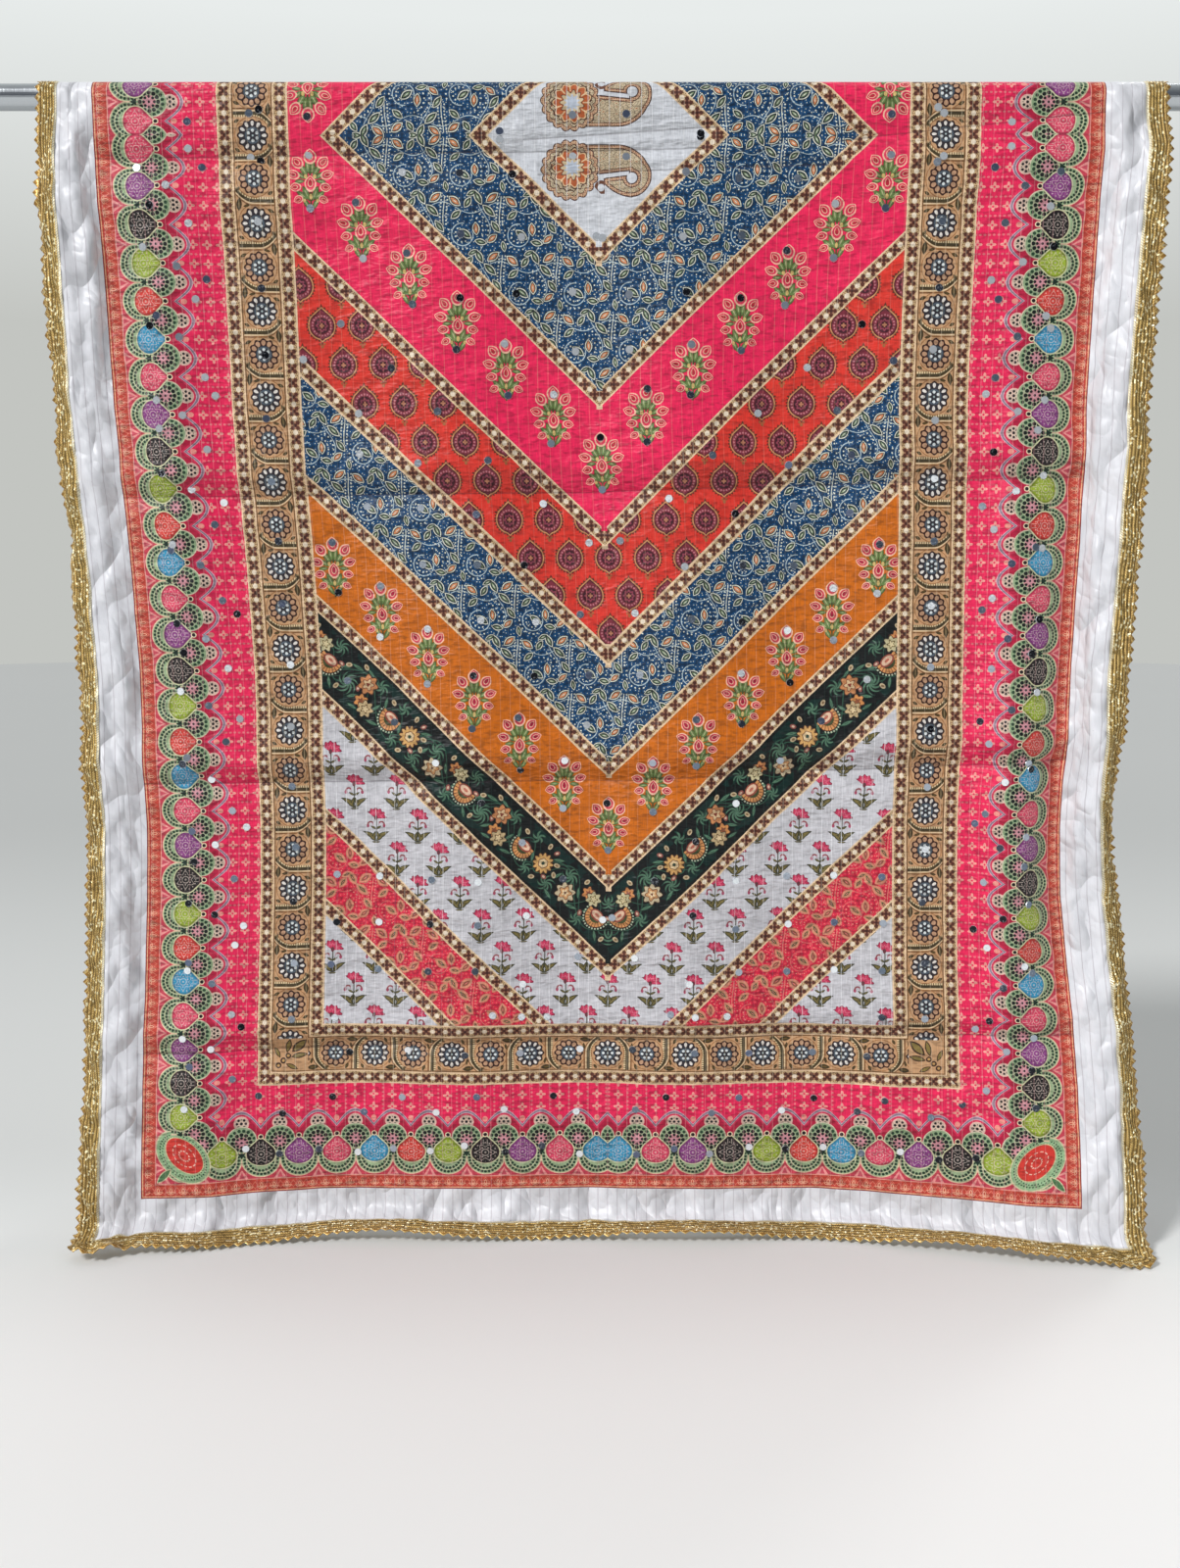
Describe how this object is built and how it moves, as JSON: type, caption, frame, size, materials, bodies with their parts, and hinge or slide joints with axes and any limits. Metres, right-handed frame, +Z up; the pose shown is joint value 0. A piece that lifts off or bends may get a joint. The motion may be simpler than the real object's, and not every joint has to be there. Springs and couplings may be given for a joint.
{
  "type": "mirror work dupatta on a rail",
  "caption": "Long printed dupatta with small mirrors and toothed gold lace, draped over a straight steel rail so that both ends hang down.",
  "frame": {"origin": "middle of the rail's axis, over which the cloth hangs", "axes": "+X along the rail, to the right seen from the front, +Z up, and the front fall faces -Y"},
  "size_m": [1.3, 0.1804, 1.173],
  "materials": {
    "printed_cloth": "thin white cotton-silk with fine silvery stripes, printed in red, pink, orange, blue and green",
    "gold_lace": "metallic gold woven lace with small teeth",
    "mirror_disc": "small round silver mirrors in stitched rims",
    "steel_rail": "polished along its length"
  },
  "bodies": {
    "root": {"rod": "steel_rail", "over_rail": "printed_cloth", "front_fall": "printed_cloth", "back_fall": "printed_cloth", "lace_over_rail_left": "gold_lace", "lace_over_rail_right": "gold_lace", "front_lace_left": "gold_lace", "front_lace_right": "gold_lace", "front_hem_lace": "gold_lace", "back_lace_left": "gold_lace", "back_lace_right": "gold_lace", "back_hem_lace": "gold_lace"}
  },
  "joints": []
}
